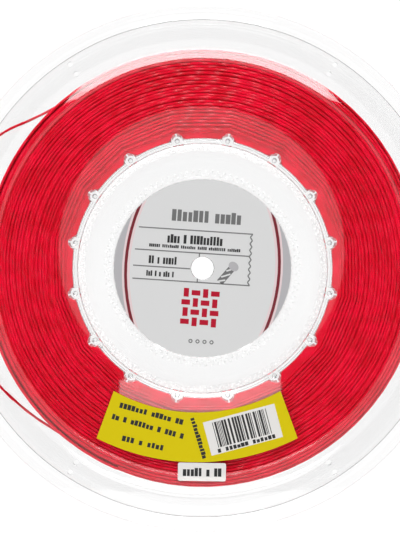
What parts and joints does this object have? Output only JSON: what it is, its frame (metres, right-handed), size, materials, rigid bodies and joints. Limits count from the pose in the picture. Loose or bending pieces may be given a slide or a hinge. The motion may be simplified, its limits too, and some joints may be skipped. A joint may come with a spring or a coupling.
{
  "type": "string reel",
  "caption": "Clear moulded reel wound with red racket string, with a printed hub card and stickers, lying on its rear rim.",
  "frame": {"origin": "centre of the circle of the rear rim that the reel rests on", "axes": "+Z along the reel's axis, out of the front face; +Y towards the top of the printed card"},
  "size_m": [0.2578, 0.254, 0.026],
  "materials": {
    "clear_plastic": "clear moulded polystyrene, polished",
    "card": "printed coated card, satin",
    "yellow_label": "printed paper sticker, satin",
    "white_label": "printed paper sticker, satin",
    "string": "extruded twisted polyester, glossy"
  },
  "bodies": {
    "root": {"rear_half_reel": "clear_plastic", "front_half_reel": "clear_plastic", "hub_card": "card", "product_label": "yellow_label", "batch_label": "white_label", "string_bulk": "string", "string_turns": "string", "string_loose_turn": "string", "string_last_wrap": "string"}
  },
  "joints": []
}
